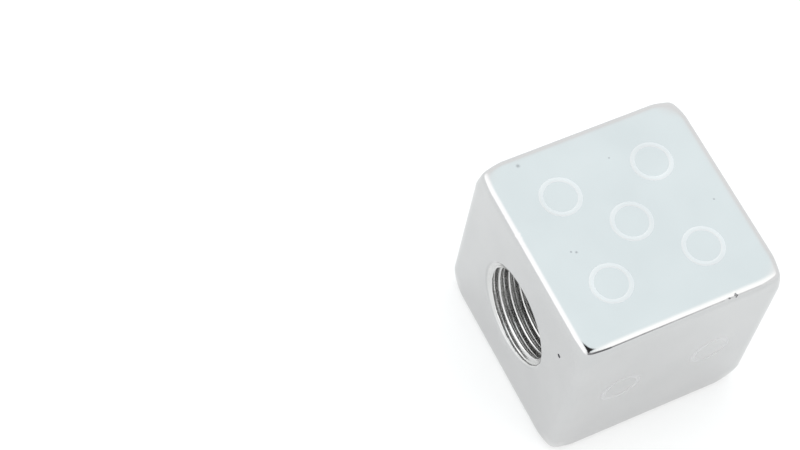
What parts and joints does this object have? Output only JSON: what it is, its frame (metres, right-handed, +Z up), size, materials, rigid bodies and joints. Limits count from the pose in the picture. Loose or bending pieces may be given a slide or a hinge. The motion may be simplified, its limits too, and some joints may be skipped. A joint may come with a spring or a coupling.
{
  "type": "tyre valve cap",
  "caption": "Cube-shaped metal tyre valve cap in the form of a die, with ring pips and a threaded blind bore that screws onto the valve stem.",
  "frame": {"origin": "middle of the three-pip face, on which the cap rests", "axes": "+Z up through the five-pip face, -Y out of the bore's mouth, +X through the two-pip face"},
  "size_m": [0.016, 0.016, 0.016],
  "materials": {
    "bright_metal": "polished, pips etched matt",
    "seal_rubber": "matt"
  },
  "bodies": {
    "root": {"cap_body": "bright_metal", "seal_washer": "seal_rubber"}
  },
  "joints": []
}
